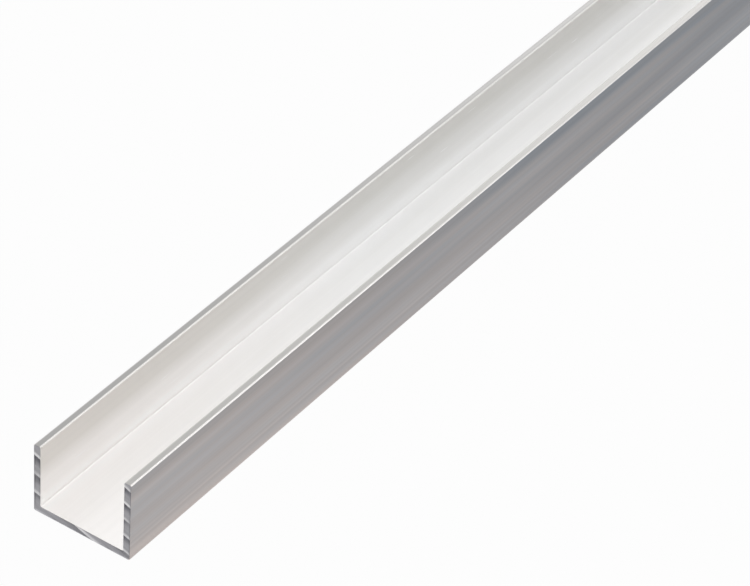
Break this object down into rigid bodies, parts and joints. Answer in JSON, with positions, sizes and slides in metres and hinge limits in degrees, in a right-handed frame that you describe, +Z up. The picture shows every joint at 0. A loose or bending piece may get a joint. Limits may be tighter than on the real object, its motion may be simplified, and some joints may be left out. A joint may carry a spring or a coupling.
{
  "type": "aluminium u channel extrusion",
  "caption": "Straight mill-finish aluminium U channel, one flange a little taller than the other, sawn square at both ends; edges a board or guides a sliding part.",
  "frame": {"origin": "middle of the web's underside, halfway along the bar, on the surface that the bar lies on", "axes": "+X along the length, +Y across the web, +Z up the flanges towards the open side"},
  "size_m": [1, 0.021, 0.017],
  "materials": {
    "mill_aluminium": "mill finish as extruded, with faint die lines along the length and sawn ends"
  },
  "bodies": {
    "root": {"u_channel": "mill_aluminium"}
  },
  "joints": []
}
